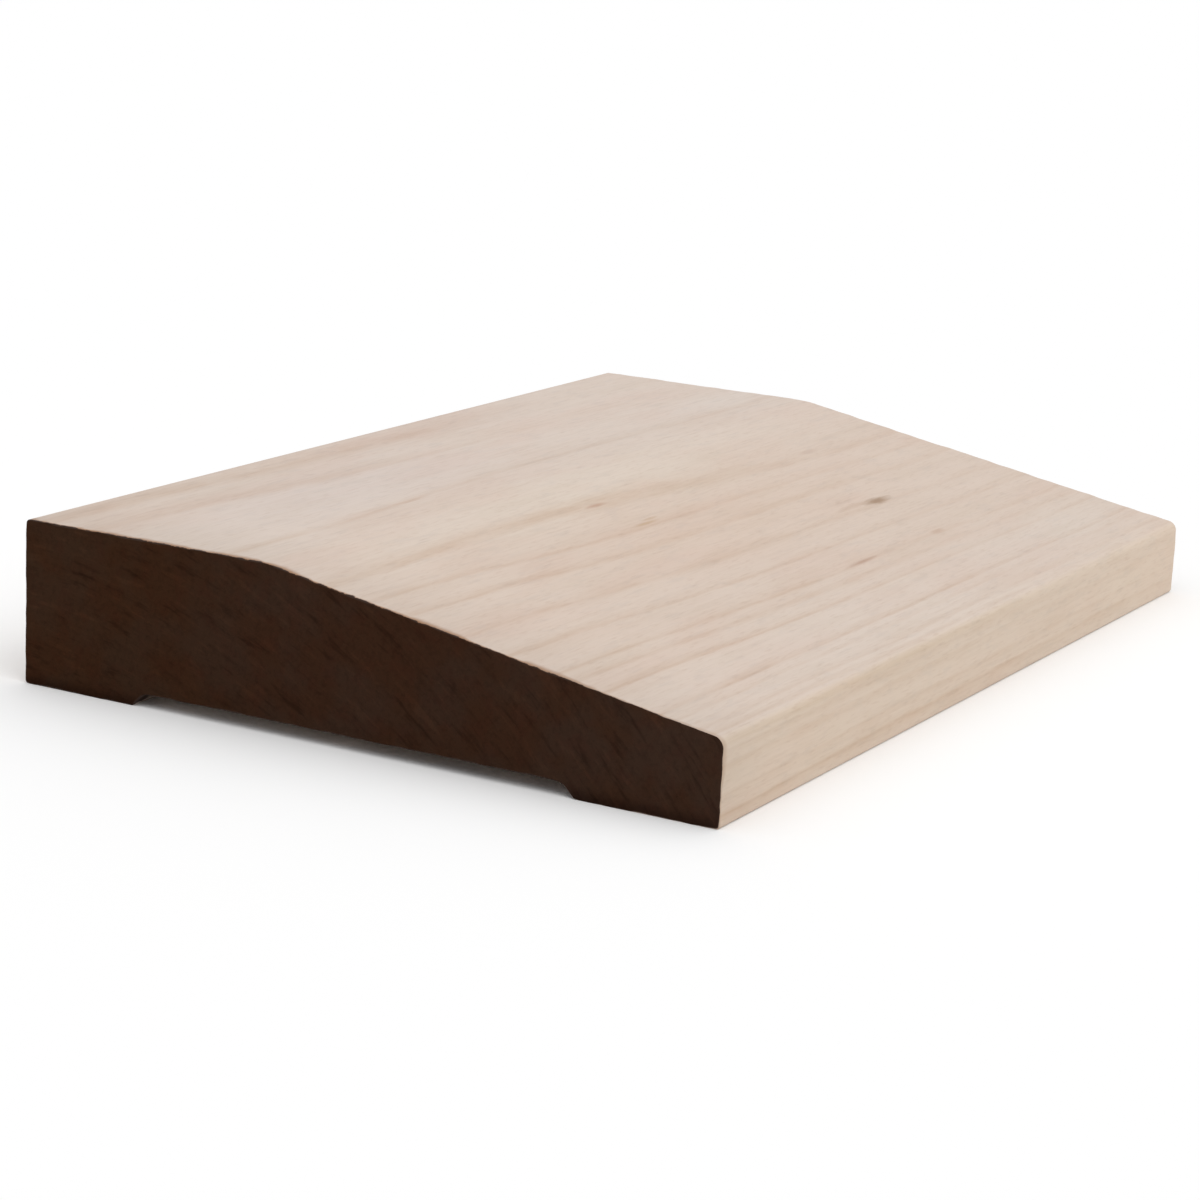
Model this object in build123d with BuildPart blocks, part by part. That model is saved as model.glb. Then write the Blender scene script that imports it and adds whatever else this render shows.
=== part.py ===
"""Bevelled casing moulding: a short length of solid hardwood trim for a door or window.

The length runs along Y. The thick outer edge is at -X and the thin edge at +X. The two
feet of the relieved back stand on Z = 0, and the origin lies on that plane, under the
middle of the bounding box.
"""

import os

from build123d import *

# Driving dimensions in millimetres, as the board is cut and milled
LENGTH = 133.35
WIDTH = 88.9
THICK_EDGE = 19.05
THIN_EDGE = 9.525
FLAT_WIDTH = 32.5

# Relief in the back, between a foot along each edge
RELIEF_DEPTH = 1.6
THICK_SIDE_FOOT = 15.1
THIN_SIDE_FOOT = 16.9
RELIEF_WALL_SLOPE = 45.0
RELIEF_COVE_RADIUS = 1.8

# Rounded and eased corners of the section
NOSE_RADIUS = 1.3
BREAK_RADIUS = 12.0
OUTER_ARRIS_RADIUS = 0.5
FOOT_ARRIS_RADIUS = 0.4

# Places across the section that follow from the sizes above
THICK_SIDE = -WIDTH / 2
THIN_SIDE = WIDTH / 2
BEVEL_START = THICK_SIDE + FLAT_WIDTH
RELIEF_START = THICK_SIDE + THICK_SIDE_FOOT
RELIEF_END = THIN_SIDE - THIN_SIDE_FOOT

os.makedirs("parts", exist_ok=True)

# Milled section: flat face, long bevel, rounded nose and two square edges
with BuildPart() as moulding:
    with BuildSketch(Plane.XZ) as section:
        with BuildLine():
            Polyline(
                (THICK_SIDE, 0),
                (THICK_SIDE, THICK_EDGE),
                (BEVEL_START, THICK_EDGE),
                (THIN_SIDE, THIN_EDGE),
                (THIN_SIDE, 0),
                close=True,
            )
        make_face()
        fillet(section.vertices().group_by(Axis.Y)[0], FOOT_ARRIS_RADIUS)
        fillet(section.vertices().group_by(Axis.Y)[-1].sort_by(Axis.X)[0], OUTER_ARRIS_RADIUS)
        fillet(section.vertices().group_by(Axis.Y)[-1].sort_by(Axis.X)[-1], BREAK_RADIUS)
        fillet(section.vertices().group_by(Axis.X)[-1].sort_by(Axis.Y)[-1], NOSE_RADIUS)
    extrude(amount=LENGTH / 2, both=True)

    # Relief: a shallow trough along the whole back, with sloped walls coved into its bed
    with BuildSketch(Plane.XZ) as relief:
        with Locations(((RELIEF_START + RELIEF_END) / 2, 0)):
            Trapezoid(
                RELIEF_END - RELIEF_START,
                RELIEF_DEPTH,
                RELIEF_WALL_SLOPE,
                align=(Align.CENTER, Align.MIN),
            )
        fillet(relief.vertices().group_by(Axis.Y)[-1], RELIEF_COVE_RADIUS)
    extrude(amount=LENGTH / 2, both=True, mode=Mode.SUBTRACT)

moulding.part.label = "casing_moulding"
export_step(moulding.part, "parts/casing_moulding.step")
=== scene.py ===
"""Looks for a bevelled casing moulding: a short, solid length of pale hardwood door trim.

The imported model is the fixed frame, in metres. The length runs along Y with the stained end
at -Y, the thick edge is at -X, the thin edge at +X, and the feet of the back stand on Z = 0.
Sizes in this file are in millimetres unless a line says otherwise.
"""

import math

import bpy
import numpy as np
from mathutils import Matrix, Vector


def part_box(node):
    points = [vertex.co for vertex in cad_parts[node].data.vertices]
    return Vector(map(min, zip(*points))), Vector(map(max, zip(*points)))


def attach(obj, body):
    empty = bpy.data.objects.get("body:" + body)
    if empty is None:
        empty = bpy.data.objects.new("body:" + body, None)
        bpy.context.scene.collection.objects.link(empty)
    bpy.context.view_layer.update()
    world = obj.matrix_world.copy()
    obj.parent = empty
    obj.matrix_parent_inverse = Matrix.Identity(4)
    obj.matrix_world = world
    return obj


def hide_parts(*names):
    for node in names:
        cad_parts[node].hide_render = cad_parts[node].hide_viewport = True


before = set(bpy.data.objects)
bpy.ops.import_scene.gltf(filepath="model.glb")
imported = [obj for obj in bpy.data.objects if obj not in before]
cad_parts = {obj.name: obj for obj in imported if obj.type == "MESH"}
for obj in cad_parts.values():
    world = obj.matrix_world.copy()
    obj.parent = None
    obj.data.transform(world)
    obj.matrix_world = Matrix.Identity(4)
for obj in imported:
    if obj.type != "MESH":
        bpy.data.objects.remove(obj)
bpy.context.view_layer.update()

MM = 0.001
NODE = "casing_moulding"
low, high = (np.array(corner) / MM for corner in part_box(NODE))
THICK_SIDE, NEAR_END, BACK = low
THIN_SIDE, FAR_END, FACE = high

# The section, with the same sizes as the solid
FLAT_WIDTH = 32.5
THIN_EDGE = 9.525
RELIEF_DEPTH = 1.6
THICK_SIDE_FOOT = 15.1
THIN_SIDE_FOOT = 16.9
NOSE_RADIUS = 1.3
BREAK_RADIUS = 12.0
OUTER_ARRIS_RADIUS = 0.5
FOOT_ARRIS_RADIUS = 0.4
RELIEF_COVE_RADIUS = 1.8
BEVEL_START = THICK_SIDE + FLAT_WIDTH
RELIEF_START = THICK_SIDE + THICK_SIDE_FOOT
RELIEF_END = THIN_SIDE - THIN_SIDE_FOOT

# Its corners in order round it, each with its radius. The relief's walls lean at 45 degrees.
SECTION_CORNERS = (
    (THICK_SIDE, BACK, FOOT_ARRIS_RADIUS),
    (RELIEF_START, BACK, 0.0),
    (RELIEF_START + RELIEF_DEPTH, BACK + RELIEF_DEPTH, RELIEF_COVE_RADIUS),
    (RELIEF_END - RELIEF_DEPTH, BACK + RELIEF_DEPTH, RELIEF_COVE_RADIUS),
    (RELIEF_END, BACK, 0.0),
    (THIN_SIDE, BACK, FOOT_ARRIS_RADIUS),
    (THIN_SIDE, BACK + THIN_EDGE, NOSE_RADIUS),
    (BEVEL_START, FACE, BREAK_RADIUS),
    (THICK_SIDE, FACE, OUTER_ARRIS_RADIUS),
)
FOOT_AT_THICK_EDGE = 0
FOOT_AT_THIN_EDGE = 5
NOSE = 6
OUTER_ARRIS = 8

# How the saw eased each cut: seed, least and most ease, and the lengths of its slow waves
NEAR_EASE = (11, 0.04, 0.2, (2.3, 4.3, 7.7, 13.0, 29.0))
FAR_EASE = (23, 0.08, 0.45, (3.1, 5.3, 9.7, 17.0, 31.0))
# Distances from a cut at which the skin has a row of points
EASED_DEPTHS = np.array([0, 0.012, 0.03, 0.06, 0.1, 0.15, 0.21, 0.29, 0.4, 0.6, 0.9, 1.4, 2.0, 2.8])

# The board's material slots, in order, and the turn past which an edge is shaded as sharp
PLANED, STAINED, BARE = range(3)
SHARP_TURN = math.radians(38)


def slow_waves(along, seed, lengths):
    """Even, unhurried unevenness between -1 and 1.

    It is the sum of one sine for each wave length, each with its own start, over their number.
    """
    starts = np.random.default_rng(seed).uniform(0, 2 * np.pi, len(lengths))
    waves = [np.sin(2 * np.pi * along / length + start) for length, start in zip(lengths, starts)]
    return sum(waves) / len(lengths)


def rounded_outline(corners, arc_steps=24):
    """The closed outline of the section, and the index of the middle of each corner's arc.

    Straight runs are joined by tangent arcs. An arc starts and ends radius * tan(turn / 2)
    from its corner, and turns about the point at one radius beside its start.
    """
    runs, middles, length = [], [], 0
    for i, (x, z, radius) in enumerate(corners):
        here = np.array((x, z))
        into = here - np.array(corners[i - 1][:2])
        out = np.array(corners[(i + 1) % len(corners)][:2]) - here
        into, out = into / np.linalg.norm(into), out / np.linalg.norm(out)
        turn = math.atan2(into[0] * out[1] - into[1] * out[0], into @ out)
        if radius == 0:
            arc = here[None, :]
        else:
            side = math.copysign(1, turn) * np.array((-into[1], into[0]))
            start = here - into * radius * math.tan(abs(turn) / 2)
            centre = start + side * radius
            angles = np.linspace(0, abs(turn), arc_steps + 1)[:, None]
            arc = centre + radius * (np.sin(angles) * into - np.cos(angles) * side)
        runs.append(arc)
        middles.append(length + len(arc) // 2)
        length += len(arc)
    return np.concatenate(runs), middles


def stepped_run(points, count, roundness):
    """count + 1 points along a run, closer together where it turns.

    The steps are even in a measure that is length in mm plus roundness times the angle turned.
    """
    steps = np.diff(points, axis=0)
    lengths = np.hypot(steps[:, 0], steps[:, 1])
    headings = np.unwrap(np.arctan2(steps[:, 1], steps[:, 0]))
    turns = np.abs(np.diff(headings, prepend=headings[0]))
    measure = np.concatenate(([0.0], np.cumsum(lengths + roundness * turns)))
    wanted = np.linspace(0, measure[-1], count + 1)
    return np.stack([np.interp(wanted, measure, points[:, k]) for k in (0, 1)], axis=1)


def section_sides(across, up):
    """The back, thin edge, face and thick edge of the section as four runs of points.

    They meet in the middle of the four outer corners' arcs. The face runs from the thick edge
    to the thin edge, as the back does, and both edges run upwards.
    """
    outline, middles = rounded_outline(SECTION_CORNERS)

    def between(first, last, count, roundness):
        start, end = middles[first], middles[last]
        if end > start:
            run = outline[start:end + 1]
        else:
            run = np.concatenate((outline[start:], outline[:end + 1]))
        return stepped_run(run, count, roundness)

    back = between(FOOT_AT_THICK_EDGE, FOOT_AT_THIN_EDGE, across, 4.0)
    thin_edge = between(FOOT_AT_THIN_EDGE, NOSE, up, 2.0)
    face = between(NOSE, OUTER_ARRIS, across, 6.0)[::-1]
    thick_edge = between(OUTER_ARRIS, FOOT_AT_THICK_EDGE, up, 2.0)[::-1]
    return back, thin_edge, face, thick_edge


def eased_skin(loop, stations):
    """The section's outline at each place along the length, and those places.

    A point is moved inwards near each cut end by r - sqrt(r^2 - (r - depth)^2), where depth is
    its distance from the cut and r the ease of that arris, up to a depth of r. The ease r
    wavers round the section, because a saw leaves a slightly fuzzy edge.
    """
    tangent = np.roll(loop, -1, axis=0) - np.roll(loop, 1, axis=0)
    outward = np.stack((tangent[:, 1], -tangent[:, 0]), axis=1)
    outward /= np.linalg.norm(outward, axis=1, keepdims=True)
    walked = np.concatenate(([0.0], np.cumsum(np.linalg.norm(np.diff(loop, axis=0), axis=1))))

    def inset(depth, seed, least, most, lengths):
        fuzz = slow_waves(walked, seed, lengths)
        ease = least + (most - least) * np.clip(0.5 + fuzz, 0, 1)
        inside = np.clip(ease - depth, 0, None)
        return ease - np.sqrt(ease ** 2 - inside ** 2)

    length = FAR_END - NEAR_END
    middle = np.linspace(EASED_DEPTHS[-1], length - EASED_DEPTHS[-1], stations + 2)[1:-1]
    depths = np.concatenate((EASED_DEPTHS, middle, length - EASED_DEPTHS[::-1]))[:, None]
    moved = inset(depths, *NEAR_EASE) + inset(length - depths, *FAR_EASE)
    return loop - outward * moved[..., None], NEAR_END + depths


def spread_between(back, thin_edge, face, thick_edge):
    """Points that fill the section between its four sides, as a grid of across by up.

    Each is the blend of back and face by height, plus the blend of the two edges by width,
    less the blend of the four corners, so the grid meets all four sides exactly.
    """
    u = np.linspace(0, 1, len(back))[:, None, None]
    v = np.linspace(0, 1, len(thin_edge))[None, :, None]
    by_height = (1 - v) * back[:, None] + v * face[:, None]
    by_width = (1 - u) * thick_edge[None] + u * thin_edge[None]
    corners = (
        (1 - u) * (1 - v) * back[0]
        + u * (1 - v) * back[-1]
        + (1 - u) * v * face[0]
        + u * v * face[-1]
    )
    return by_height + by_width - corners


def cut_end(outline, across, up):
    """The flat end inside its eased outline, filled as a grid of across by up."""
    closed = np.concatenate((outline, outline[:1]))
    back = closed[:across + 1]
    thin_edge = closed[across:across + up + 1]
    face = closed[across + up:2 * across + up + 1]
    thick_edge = closed[2 * across + up:]
    return spread_between(back, thin_edge, face[::-1], thick_edge[::-1])


def carried(section, along):
    """Points of the section as points of the board, at their places along its length."""
    along = np.broadcast_to(along, section.shape[:-1])
    return np.stack((section[..., 0], along, section[..., 1]), axis=-1).reshape(-1, 3)


def grid_quads(index):
    """The quads of a grid, from the numbers of its points."""
    corners = (index[:-1, :-1], index[1:, :-1], index[1:, 1:], index[:-1, 1:])
    return np.stack(corners, axis=-1).reshape(-1, 4)


def milled_board(name, across=150, up=34, stations=108):
    """The board as one closed skin: a section carried along the length, and two flat cut ends.

    across and up are its steps over the width and the height, and stations the rows of points
    between the eased stretches at its ends.
    """
    back, thin_edge, face, thick_edge = section_sides(across, up)
    loop = np.concatenate((back[:-1], thin_edge[:-1], face[:0:-1], thick_edge[:0:-1]))
    outlines, places = eased_skin(loop, stations)
    near_grid = cut_end(outlines[0], across, up)
    far_grid = cut_end(outlines[-1], across, up)
    between = carried(outlines[1:-1], places[1:-1])
    points = np.concatenate((carried(near_grid, NEAR_END), carried(far_grid, FAR_END), between))

    count = (across + 1) * (up + 1)
    index = np.arange(count).reshape(across + 1, up + 1)
    rim = np.concatenate((index[:-1, 0], index[-1, :-1], index[:0:-1, -1], index[0, :0:-1]))
    rows = np.arange(2 * count, len(points)).reshape(-1, len(rim))
    rows = np.concatenate((rim[None], rows, rim[None] + count))
    near = grid_quads(index)
    far = near[:, ::-1] + count
    sides = grid_quads(np.column_stack((rows, rows[:, 0])))
    quads = np.concatenate((near, far, sides))
    slots = np.full(len(quads), PLANED, dtype=np.int32)
    slots[:len(near)] = STAINED
    slots[len(near):2 * len(near)] = BARE

    mesh = bpy.data.meshes.new(name)
    mesh.from_pydata((points * MM).tolist(), [], quads.tolist())
    mesh.polygons.foreach_set("material_index", slots)
    mesh.polygons.foreach_set("use_smooth", np.ones(len(quads), dtype=bool))
    mesh.set_sharp_from_angle(angle=SHARP_TURN)
    mesh.update()
    piece = bpy.data.objects.new(name, mesh)
    bpy.context.scene.collection.objects.link(piece)
    return piece


class Nodes:
    """A node tree, emptied, with short ways to add its nodes and to join them."""

    def __init__(self, tree):
        self.tree = tree
        tree.nodes.clear()

    def node(self, kind, **settings):
        """A new node with these settings."""
        made = self.tree.nodes.new(kind)
        for setting, value in settings.items():
            setattr(made, setting, value)
        return made

    def join(self, socket, value):
        """Feeds a socket with another node's output, or sets it to a plain value."""
        if isinstance(value, bpy.types.NodeSocket):
            self.tree.links.new(value, socket)
        elif socket.type == "RGBA":
            socket.default_value = (*value, 1)
        else:
            socket.default_value = value

    def join_each(self, sockets, values):
        """Joins sockets to values, in order, as far as there are values."""
        for socket, value in zip(sockets, values):
            self.join(socket, value)

    def maths(self, operation, *values):
        """A number worked out from others."""
        made = self.node("ShaderNodeMath", operation=operation)
        self.join_each(made.inputs, values)
        return made.outputs["Value"]

    def vectors(self, operation, *values):
        """A vector worked out from others, or its length."""
        made = self.node("ShaderNodeVectorMath", operation=operation)
        self.join_each(made.inputs, values)
        return made.outputs["Value" if operation == "LENGTH" else "Vector"]


class Finish(Nodes):
    """A procedural finish of the board, which knows each point's place in mm."""

    # Sockets of a Mix node set to colours: its share and two colours, and its result
    MIX_INPUTS = (0, 6, 7)
    MIX_RESULT = 2

    def __init__(self, name, roughness, specular):
        self.material = bpy.data.materials.new(name)
        self.material.use_nodes = True
        super().__init__(self.material.node_tree)
        self.shader = self.node("ShaderNodeBsdfPrincipled")
        self.join(self.shader.inputs["Roughness"], roughness)
        self.join(self.shader.inputs["Specular IOR Level"], specular)
        output = self.node("ShaderNodeOutputMaterial")
        self.join(output.inputs["Surface"], self.shader.outputs["BSDF"])
        place = self.node("ShaderNodeTexCoord")
        self.mm = self.vectors("MULTIPLY", place.outputs["Object"], (1 / MM, 1 / MM, 1 / MM))
        parts = self.node("ShaderNodeSeparateXYZ")
        self.join(parts.inputs["Vector"], self.mm)
        self.across, along, self.height = parts.outputs
        self.depth = self.maths("SUBTRACT", along, NEAR_END)

    def noise(self, per_mm, detail=2.0, roughness=0.5, turn=0.0, where=None):
        """Cloudy noise around 0.5, with a size of about 1 / per_mm along each axis.

        It is stretched to that size, and then turned about Z.
        """
        made = self.node("ShaderNodeTexNoise")
        spread = self.node("ShaderNodeMapping")
        self.join(spread.inputs["Vector"], self.mm if where is None else where)
        self.join(spread.inputs["Rotation"], (0.0, 0.0, turn))
        self.join(spread.inputs["Scale"], per_mm)
        self.join(made.inputs["Vector"], spread.outputs["Vector"])
        self.join(made.inputs["Scale"], 1.0)
        self.join(made.inputs["Detail"], detail)
        self.join(made.inputs["Roughness"], roughness)
        return made.outputs["Fac"]

    def fade(self, value, start, end, from_share=0.0, to_share=1.0):
        """A smooth change from one share to another as the value goes from start to end."""
        made = self.node("ShaderNodeMapRange", interpolation_type="SMOOTHSTEP")
        names = ("Value", "From Min", "From Max", "To Min", "To Max")
        sockets = [made.inputs[name] for name in names]
        self.join_each(sockets, (value, start, end, from_share, to_share))
        return made.outputs["Result"]

    def steps(self, value, low_end, high_end, stops):
        """A number read off a run of stops, each a place and a value, straight between them."""
        made = self.node("ShaderNodeValToRGB")
        span = high_end - low_end
        self.join(made.inputs["Fac"], self.maths("DIVIDE", self.maths("SUBTRACT", value, low_end), span))
        marks = made.color_ramp.elements
        marks.remove(marks[1])
        for k, (place, level) in enumerate(sorted(stops)):
            mark = marks[0] if k == 0 else marks.new((place - low_end) / span)
            mark.position = (place - low_end) / span
            mark.color = (level, level, level, 1)
        return made.outputs["Color"]

    def mix(self, blend, colour, share, by):
        """The colour mixed with another, as far as share says."""
        made = self.node("ShaderNodeMix", data_type="RGBA", blend_type=blend)
        self.join_each([made.inputs[k] for k in self.MIX_INPUTS], (share, colour, by))
        return made.outputs[self.MIX_RESULT]

    def tint(self, colour, share, by):
        """The colour multiplied by another, as far as share says."""
        return self.mix("MULTIPLY", colour, share, by)

    def cover(self, colour, share, by):
        """The colour covered with another, as far as share says."""
        return self.mix("MIX", colour, share, by)

    def cloud(self, colour, per_mm, start, full, by):
        """The colour tinted in clouds, which begin where their noise is start and are whole at full."""
        return self.tint(colour, self.fade(self.noise(per_mm, 3.0, 0.6), start, full), by)

    def patch(self, centre, size, edge=0.0, ragged=0.0):
        """1 in the middle of a soft lump of wood at a place in mm, and 0 outside its size.

        It begins to fade at edge, as a share of its size, and ragged says how far it is frayed.
        """
        offset = self.vectors("SUBTRACT", self.mm, centre)
        reach = self.vectors("LENGTH", self.vectors("MULTIPLY", offset, tuple(1 / s for s in size)))
        if ragged:
            frayed = self.maths("SUBTRACT", self.noise((1.7, 0.3, 1.7)), 0.5)
            reach = self.maths("MULTIPLY_ADD", frayed, ragged, reach)
        return self.fade(reach, edge, 1.0, 1.0, 0.0)

    def relief(self, height, distance):
        """Small surface relief from a height between 0 and 1, with its depth in mm."""
        made = self.node("ShaderNodeBump")
        self.join(made.inputs["Strength"], 1.0)
        self.join(made.inputs["Distance"], distance * MM)
        self.join(made.inputs["Height"], height)
        self.join(self.shader.inputs["Normal"], made.outputs["Normal"])


# The trunk that the board was sawn from: its pith lies outside the thick edge, below the back
PITH = (-50.95, -68.0)
# Growth rings: radius from the pith at the near end, how dark the late wood is, and how wide
RINGS = (
    (68.6, 0.6, 1.0), (70.9, 0.7, 1.0), (73.6, 0.8, 1.0), (77.3, 0.9, 1.0), (79.9, 0.6, 1.0),
    (83.2, 0.8, 1.0), (85.6, 0.5, 1.0), (87.54, 0.95, 0.5), (88.45, 1.25, 0.5), (93.4, 0.88, 0.6),
    (97.82, 1.18, 0.9), (99.8, 0.8, 0.8), (101.6, 0.85, 1.0), (104.77, 0.8, 1.0), (107.75, 0.79, 1.0),
    (110.85, 0.86, 0.8), (112.1, 0.85, 0.8), (114.05, 0.85, 0.9), (118.05, 0.95, 1.0),
    (119.2, 0.5, 0.8), (121.05, 0.6, 0.8), (122.0, 0.6, 1.0), (124.6, 0.6, 1.0),
)
# The radii that the ramps over the rings span, a little past the board's own
RING_RANGE = (66.0, 126.0)
# The late wood of a ring: place by its radius, in its widths, and share of its darkness
LATE_WOOD = ((-1.0, 0.0), (-0.35, 0.35), (-0.12, 0.9), (0.0, 1.0), (0.2, 0.0))
# A ramp holds 32 stops at most
RINGS_PER_RAMP = 32 // len(LATE_WOOD)
# How far the rings lean across the board by the far end, in units of LEAN_MOST, by radius
LEAN = (
    (66.0, 0.3), (86.0, 0.12), (87.9, 0.12), (88.4, 0.36), (89.2, 0.6), (90.5, 0.35), (93.4, 0.0),
    (97.8, 0.35), (99.8, 0.9), (107.5, 1.0), (110.8, 0.68), (113.7, 0.75), (117.9, 0.22),
    (121.0, 0.07), (126.0, 0.15),
)
LEAN_MOST = 2.1
# How much of that lean is reached at each distance from the near end
LEAN_ALONG = ((0.0, 0.0), (18.0, 0.15), (32.0, 0.4), (46.0, 0.6), (60.0, 0.7), (88.0, 0.8), (116.0, 1.0))
# Where the rings swell towards the thick edge or, with a minus, away from it: place, reach and height
SWELLS = (
    ((-18.2, -2.0, 19.0), (9.0, 52.0, 14.0), 0.5),
    ((-17.5, -44.0, 19.0), (7.0, 22.0, 10.0), -0.2),
    ((-4.0, -19.0, 17.5), (8.0, 42.0, 12.0), 0.5),
    ((0.5, 56.0, 17.0), (8.0, 50.0, 12.0), -0.55),
)


def ring_radius(finish):
    """Distance from the pith across the grain, less the rings' lean along the length.

    A few broad swells, a slow wander and a finer quiver keep a ring from being a perfect
    circle. The wander and the quiver are weakest at the thick edge.
    """
    from_pith = finish.vectors("SUBTRACT", finish.mm, (PITH[0], 0.0, PITH[1]))
    radius = finish.vectors("LENGTH", finish.vectors("MULTIPLY", from_pith, (1.0, 0.0, 1.0)))
    share = finish.steps(finish.depth, 0.0, FAR_END - NEAR_END, LEAN_ALONG)
    lean = finish.maths("MULTIPLY", finish.steps(radius, *RING_RANGE, LEAN), share)
    moved = finish.maths("MULTIPLY_ADD", lean, -LEAN_MOST, radius)
    for place, reach, height in SWELLS:
        moved = finish.maths("MULTIPLY_ADD", finish.patch(place, reach), height, moved)
    wander = finish.maths("SUBTRACT", finish.noise((0.09, 0.03, 0.09), 1.0), 0.5)
    quiver = finish.maths("SUBTRACT", finish.noise((0.9, 0.11, 0.9), 3.0, 0.6), 0.5)
    unrest = finish.maths("MULTIPLY_ADD", quiver, 0.35, finish.maths("MULTIPLY", wander, 0.4))
    freedom = finish.fade(finish.across, THICK_SIDE + 6.0, THICK_SIDE + 66.0, 0.15, 1.0)
    return finish.maths("MULTIPLY_ADD", unrest, freedom, moved)


def late_wood(finish, radius):
    """How dark the rings make each point: a slow rise towards the bark, and a sharp end."""
    total = 0.0
    for first in range(0, len(RINGS), RINGS_PER_RAMP):
        stops = []
        for place, dark, width in RINGS[first:first + RINGS_PER_RAMP]:
            stops += [(place + offset * width, share * dark) for offset, share in LATE_WOOD]
        total = finish.maths("ADD", finish.steps(radius, *RING_RANGE, stops), total)
    return total


def along_rings(finish, radius, per_mm, per_mm_round, typical_radius=100.0):
    """Noise drawn out along the rings on a cut end, by distance from the pith and round it."""
    beside = finish.maths("SUBTRACT", finish.across, PITH[0])
    above = finish.maths("SUBTRACT", finish.height, PITH[1])
    walked = finish.maths("MULTIPLY", finish.maths("ARCTAN2", beside, above), typical_radius)
    place = finish.node("ShaderNodeCombineXYZ")
    finish.join_each(place.inputs, (radius, walked))
    return finish.noise((per_mm, per_mm_round, 1.0), 3.0, 0.6, where=place.outputs["Vector"])


# Colours of the planed wood on the flat and on the bevel, and tint of its late wood
FLAT_WOOD = (0.672, 0.573, 0.503)
BEVEL_WOOD = (0.658, 0.545, 0.464)
LATE_WOOD_TINT = (0.885, 0.810, 0.742)
# Clouds of pinker, browner and greyer wood: noise per mm, where it begins and is whole, and tint
WOOD_CLOUDS = (
    ((0.13, 0.03, 0.13), 0.42, 0.7, (0.988, 0.955, 0.945)),
    ((0.34, 0.05, 0.34), 0.45, 0.72, (0.972, 0.965, 0.95)),
    ((0.9, 0.22, 0.9), 0.5, 0.72, (0.95, 0.955, 0.965)),
)
FIBRE_SLANT = math.radians(1.1)
# Stain that crept round the near end's arris: where it soaked in, and its thinner rim. In the relief the
# soaked colour is also painted shade for its mouth
SOAKED_STAIN_AND_SHADE = (0.030, 0.0125, 0.006)
RIM_STAIN = (0.30, 0.15, 0.07)
# Soft changes of colour in the face and the thin edge: place, reach and tint. Most are the wood's own tone;
# one is a painted highlight along the nose, one painted shade along the thick edge's top arris
SOFT_PATCHES_AND_PAINTED_LIGHT = (
    ((-28.0, -30.0, 19.0), (14.0, 50.0, 14.0), (0.975, 0.982, 1.01)),
    ((-6.0, -8.0, 19.0), (12.0, 76.0, 12.0), (1.03, 1.055, 1.05)),
    ((9.0, 0.0, 16.0), (16.0, 60.0, 12.0), (1.0, 0.975, 0.955)),
    ((-40.0, -44.0, 19.0), (13.0, 50.0, 9.0), (0.953, 0.94, 0.925)),
    ((-42.5, -56.0, 19.0), (1.7, 32.0, 3.0), (0.945, 0.92, 0.905)),
    # Painted shade: a darker band along the thick edge's top arris, dimming its highlight
    ((-44.4, 0.0, 19.0), (1.3, 100.0, 1.5), (0.94, 0.925, 0.925)),
    # Painted highlight: a lighter band along the nose
    ((42.8, 0.0, 9.9), (1.2, 100.0, 1.5), (1.03, 1.045, 1.055)),
    ((44.3, -26.0, 8.95), (1.5, 70.0, 0.8), (0.91, 0.875, 0.825)),
    ((-40.0, 8.0, 19.0), (7.5, 42.0, 8.0), (0.955, 0.93, 0.925)),
    ((38.0, -10.0, 11.0), (13.0, 110.0, 8.0), (1.02, 1.05, 1.075)),
    ((43.0, 64.0, 5.0), (9.0, 46.0, 9.0), (1.05, 1.06, 1.06)),
    ((35.0, 44.0, 11.0), (9.0, 44.0, 8.0), (1.005, 1.03, 1.045)),
    ((-30.0, -66.0, 19.0), (22.0, 15.0, 12.0), (0.97, 0.962, 0.945)),
    ((-20.0, 58.0, 19.0), (11.0, 24.0, 10.0), (1.0, 1.02, 1.035)),
    ((-18.6, 18.0, 19.0), (2.6, 50.0, 4.0), (0.965, 0.955, 0.945)),
)
# Small dark flecks in the face: place, reach and tint
FLECKS = (
    ((-17.3, -29.5, 19.0), (0.6, 4.6, 1.5), (0.92, 0.86, 0.81)),
    ((-2.8, -10.3, 17.2), (0.6, 3.0, 1.5), (0.86, 0.75, 0.72)),
    ((4.2, -10.0, 16.2), (0.5, 4.4, 1.5), (0.86, 0.79, 0.68)),
    ((3.5, -7.6, 16.2), (0.4, 2.6, 1.5), (0.90, 0.84, 0.76)),
    ((16.2, 30.6, 14.4), (1.15, 4.4, 1.5), (0.58, 0.49, 0.40)),
    ((15.5, 25.5, 14.4), (0.7, 8.5, 1.5), (0.90, 0.86, 0.82)),
    ((26.6, 4.0, 12.6), (0.55, 5.0, 1.2), (0.82, 0.74, 0.71)),
    ((26.6, 26.6, 12.6), (0.8, 2.6, 1.2), (0.90, 0.84, 0.80)),
    ((0.6, 42.0, 17.0), (0.8, 3.6, 1.5), (0.92, 0.87, 0.85)),
)


def fibres(wood, per_mm):
    """Streaks of fibre, drawn out along the grain."""
    return wood.noise((per_mm, per_mm * 0.03, per_mm), 3.0, 0.6, FIBRE_SLANT)


def ring_lines(wood):
    """The late wood as it shows on planed wood: broken up, and calmer towards the far end.

    It is faintest at the far end of the thick edge.
    """
    broken = wood.fade(wood.noise((0.4, 0.09, 0.4), 3.0, 0.6), 0.36, 0.6, 0.5, 1.0)
    calmer = wood.fade(wood.depth, 50.0, 100.0, 1.0, 0.6)
    far_corner = wood.patch((-46.0, 62.0, 19.0), (26.0, 66.0, 16.0))
    faint = wood.maths("MULTIPLY_ADD", far_corner, -0.75, 1.0)
    shown = wood.maths("MULTIPLY", wood.maths("MULTIPLY", broken, calmer), faint)
    return wood.maths("MULTIPLY", late_wood(wood, ring_radius(wood)), shown)


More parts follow.
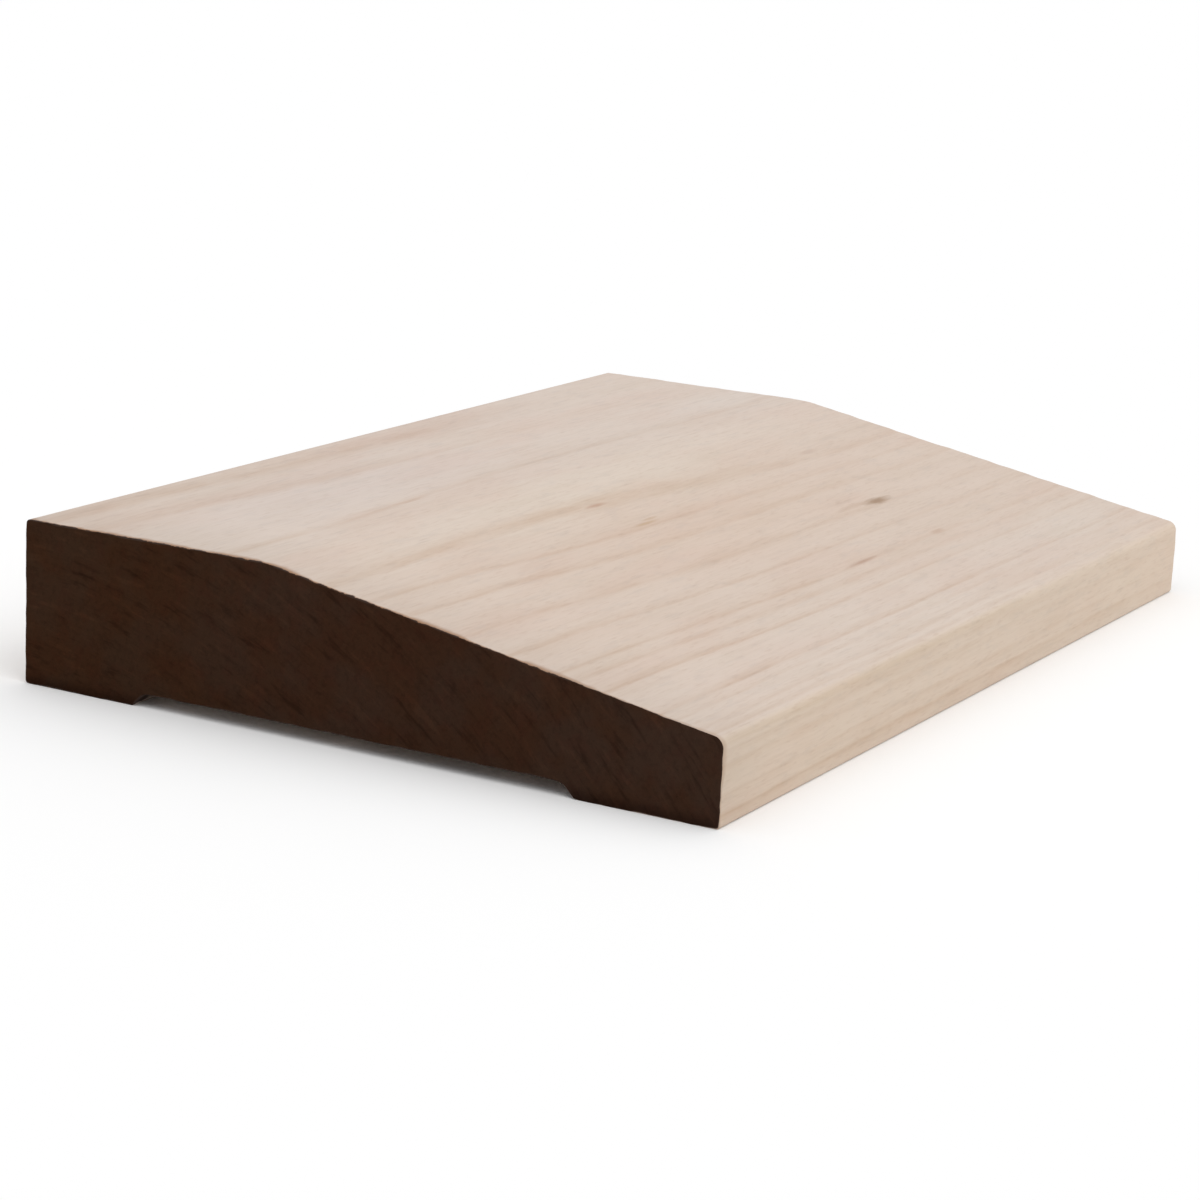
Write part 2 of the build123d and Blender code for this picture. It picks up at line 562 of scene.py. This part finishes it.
def crept_stain_and_shade(wood, colour):
    """The colour with the near end's stain crept round its arris, dark with a redder rim.

    It goes a ragged fraction of a millimetre up the face and the edges, least at the thin
    edge, and about 2 mm into the relief of the back, where the dark is both stain and
    painted shade for the relief's mouth.
    """
    ragged = wood.maths("MULTIPLY_ADD", wood.noise((0.75, 0.3, 0.75), 3.0, 0.6), 1.7, -0.68)
    ragged = wood.maths("MULTIPLY", ragged, wood.fade(wood.across, BEVEL_START - 4.0, THIN_SIDE, 1.0, 0.15))
    # Painted shade: between the feet the stain reaches a few mm into the relief, darkening its mouth
    low_down = wood.fade(wood.height, RELIEF_DEPTH + 0.5, RELIEF_DEPTH + 0.1)
    between_feet = wood.fade(wood.maths("ABSOLUTE", wood.across), THIN_SIDE - 14.0, THIN_SIDE - 15.0)
    inside = wood.maths("MULTIPLY", low_down, between_feet)
    inside = wood.maths("MULTIPLY", inside, wood.fade(wood.height, 0.0, 0.5))
    stain_and_shade_in_relief = wood.maths("MULTIPLY", wood.noise((0.11, 0.02, 0.11), 1.0), 4.5)
    reach = wood.maths("MULTIPLY_ADD", inside, stain_and_shade_in_relief, wood.maths("MAXIMUM", ragged, 0.04))
    soaked = wood.maths("DIVIDE", wood.depth, reach)
    rim = wood.fade(wood.noise((0.22, 0.22, 0.22)), 0.4, 0.6, 0.3, 1.2)
    soaked_rim = wood.maths("DIVIDE", wood.depth, wood.maths("ADD", reach, rim))
    clearer = wood.fade(wood.across, 12.0, THIN_SIDE, 0.95, 0.35)
    rim_share = wood.maths("MULTIPLY", wood.fade(soaked_rim, 0.0, 1.0, 1.0, 0.0), clearer)
    colour = wood.cover(colour, rim_share, RIM_STAIN)
    return wood.cover(colour, wood.fade(soaked, 0.5, 1.2, 1.0, 0.0), SOAKED_STAIN_AND_SHADE)


def planed_wood():
    """Bare planed and sanded hardwood, pale and slightly pink, with the rings as thin lines."""
    wood = Finish("planed_hardwood", 0.6, 0.2)
    on_bevel = wood.fade(wood.across, BEVEL_START - 12.0, BEVEL_START + 14.0)
    colour = wood.cover(FLAT_WOOD, on_bevel, BEVEL_WOOD)
    # These include a painted highlight along the nose and painted shade along the thick edge's top arris
    for centre, size, by in SOFT_PATCHES_AND_PAINTED_LIGHT:
        colour = wood.tint(colour, wood.patch(centre, size), by)
    for per_mm, start, full, by in WOOD_CLOUDS:
        colour = wood.cloud(colour, per_mm, start, full, by)
    streaks = wood.fade(fibres(wood, 2.4), 0.42, 0.68)
    colour = wood.tint(colour, streaks, (0.965, 0.955, 0.945))
    pores = wood.fade(wood.noise((3.5, 0.45, 3.5), turn=FIBRE_SLANT), 0.5, 0.8)
    colour = wood.tint(colour, pores, (0.93, 0.90, 0.88))
    lines = ring_lines(wood)
    colour = wood.tint(colour, lines, LATE_WOOD_TINT)
    for centre, size, by in FLECKS:
        colour = wood.tint(colour, wood.patch(centre, size, 0.2, 0.7), by)
    near_end = wood.fade(wood.depth, 0.0, 16.0, 1.0, 0.0)
    colour = wood.tint(colour, near_end, (0.935, 0.935, 0.935))
    thin_edge = wood.fade(wood.across, THIN_SIDE - 1.0, THIN_SIDE - 0.1)
    colour = wood.tint(colour, thin_edge, (1.03, 1.025, 0.975))
    wood.join(wood.shader.inputs["Base Color"], crept_stain_and_shade(wood, colour))
    wood.relief(wood.maths("MULTIPLY_ADD", lines, 0.2, fibres(wood, 4.0)), 0.02)
    return wood.material


def stained_end():
    """End grain soaked with dark brown stain, matt, with its grain only just showing."""
    stain = Finish("stained_end_grain", 0.85, 0.02)
    greener = stain.fade(stain.noise((0.16, 0.16, 0.16), 3.0), 0.38, 0.62)
    colour = stain.cover((0.0403, 0.0175, 0.0092), greener, (0.0396, 0.0200, 0.0123))
    redder = (1.02, 0.93, 0.93)
    colour = stain.cloud(colour, (0.45, 0.45, 0.45), 0.45, 0.65, redder)
    radius = ring_radius(stain)
    grain = along_rings(stain, radius, 0.9, 0.14)
    colour = stain.tint(colour, stain.fade(grain, 0.54, 0.74), (0.66, 0.63, 0.62))
    colour = stain.tint(colour, stain.fade(grain, 0.46, 0.3), (1.21, 1.19, 1.17))
    patchy = stain.fade(stain.noise((0.3, 0.3, 0.3), 3.0, 0.7), 0.42, 0.68)
    rings = stain.maths("MULTIPLY", late_wood(stain, radius), patchy)
    colour = stain.tint(colour, rings, (0.72, 0.68, 0.68))
    speckle = (0.86, 0.86, 0.86)
    colour = stain.cloud(colour, (1.6, 1.6, 1.6), 0.45, 0.7, speckle)
    # Painted shade: the end darkens over its lowest 1.8 mm, towards the floor
    painted_floor_shade = stain.fade(stain.height, 1.8, 0.0)
    colour = stain.tint(colour, painted_floor_shade, (0.55, 0.52, 0.55))
    thin_half = stain.fade(stain.across, 10.0, 44.0)
    colour = stain.tint(colour, thin_half, (1.08, 1.15, 1.22))
    thick_half = stain.fade(stain.across, -8.0, -30.0)
    colour = stain.tint(colour, thick_half, (1.01, 0.98, 0.87))
    stain.join(stain.shader.inputs["Base Color"], colour)
    stain.relief(stain.noise((3.0, 3.0, 3.0), 3.0), 0.04)
    return stain.material


def bare_end():
    """Bare end grain: a shade darker than the face, with clear rings and open pores."""
    cut = Finish("bare_end_grain", 0.75, 0.1)
    paler = cut.fade(cut.noise((0.12, 0.12, 0.12), 3.0), 0.35, 0.65)
    colour = cut.cover((0.53, 0.405, 0.305), paler, (0.57, 0.445, 0.345))
    colour = cut.tint(colour, late_wood(cut, ring_radius(cut)), (0.74, 0.66, 0.58))
    pores = cut.fade(cut.noise((5.0, 5.0, 5.0)), 0.5, 0.7)
    colour = cut.tint(colour, pores, (0.82, 0.77, 0.72))
    cut.join(cut.shader.inputs["Base Color"], colour)
    cut.relief(cut.maths("SUBTRACT", 1.0, pores), 0.05)
    return cut.material


def plain_floor(reach=6000.0, gap=0.02):
    """A wide, level floor just under the feet, pale enough to come out white."""
    mesh = bpy.data.meshes.new("pale_floor")
    corners = [(-reach, -reach, -gap), (reach, -reach, -gap), (reach, reach, -gap), (-reach, reach, -gap)]
    mesh.from_pydata((np.array(corners) * MM).tolist(), [], [(0, 1, 2, 3)])
    floor = bpy.data.objects.new("pale_floor", mesh)
    bpy.context.scene.collection.objects.link(floor)
    paint = bpy.data.materials.new("pale_floor_paint")
    paint.use_nodes = True
    shader = paint.node_tree.nodes["Principled BSDF"]
    shader.inputs["Base Color"].default_value = (0.97, 0.97, 0.97, 1)
    shader.inputs["Roughness"].default_value = 1.0
    shader.inputs["Specular IOR Level"].default_value = 0.0
    mesh.materials.append(paint)


def white_room(overhead=1.25):
    """Soft light from above, dimmer towards the horizon.

    As a light the room's strength is overhead times the sine of the elevation. To the camera
    and in reflections it is plain white.
    """
    world = bpy.data.worlds.new("white_room")
    bpy.context.scene.world = world
    world.use_nodes = True
    room = Nodes(world.node_tree)
    direction = room.node("ShaderNodeTexCoord")
    parts = room.node("ShaderNodeSeparateXYZ")
    room.join(parts.inputs["Vector"], direction.outputs["Generated"])
    sine = room.maths("MAXIMUM", parts.outputs["Z"], 0.0)
    lighting = room.node("ShaderNodeBackground")
    room.join(lighting.inputs["Color"], (1.0, 1.0, 1.0))
    room.join(lighting.inputs["Strength"], room.maths("MULTIPLY", sine, overhead))
    seen = room.node("ShaderNodeBackground")
    room.join(seen.inputs["Color"], (1.0, 1.0, 1.0))
    room.join(seen.inputs["Strength"], 1.0)
    path = room.node("ShaderNodeLightPath")
    in_sight = room.maths("MAXIMUM", path.outputs["Is Camera Ray"], path.outputs["Is Glossy Ray"])
    mix = room.node("ShaderNodeMixShader")
    room.join_each(mix.inputs, (in_sight, lighting.outputs["Background"], seen.outputs["Background"]))
    output = room.node("ShaderNodeOutputWorld")
    room.join(output.inputs["Surface"], mix.outputs["Shader"])


def soft_key(strength=0.9, spread=50):
    """A broad, soft lamp from the right, with its spread in degrees."""
    lamp = bpy.data.lights.new("soft_key", "SUN")
    lamp.energy = strength
    lamp.angle = math.radians(spread)
    holder = bpy.data.objects.new("soft_key", lamp)
    bpy.context.scene.collection.objects.link(holder)
    towards_light = Vector((0.68, -0.24, 0.69))
    holder.rotation_euler = towards_light.to_track_quat("Z", "Y").to_euler()


def photo_camera():
    """The photograph's view: from the right, above the stained end, with a slight roll."""
    data = bpy.data.cameras.new("photo_camera")
    data.sensor_width = 36.0
    data.lens = 98.32
    data.clip_start = 10.0 * MM
    data.clip_end = 50000.0 * MM
    eye = Vector((185.104, -350.180, 99.926)) * MM
    aim = Vector((5.606, -23.186, 9.525)) * MM
    roll = math.radians(2.791)
    forward = (aim - eye).normalized()
    level = forward.cross(Vector((0, 0, 1))).normalized()
    upright = level.cross(forward)
    right = level * math.cos(roll) + upright * math.sin(roll)
    up = upright * math.cos(roll) - level * math.sin(roll)
    camera = bpy.data.objects.new("photo_camera", data)
    bpy.context.scene.collection.objects.link(camera)
    turned = Matrix((right, up, -forward)).transposed().to_4x4()
    camera.matrix_world = Matrix.Translation(eye) @ turned
    bpy.context.scene.camera = camera


photo_camera()
board = milled_board("milled_board")
for finish in (planed_wood(), stained_end(), bare_end()):
    board.data.materials.append(finish)
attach(board, "root")
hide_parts(NODE)
plain_floor()
white_room()
soft_key()
bpy.context.scene.view_settings.view_transform = "Standard"
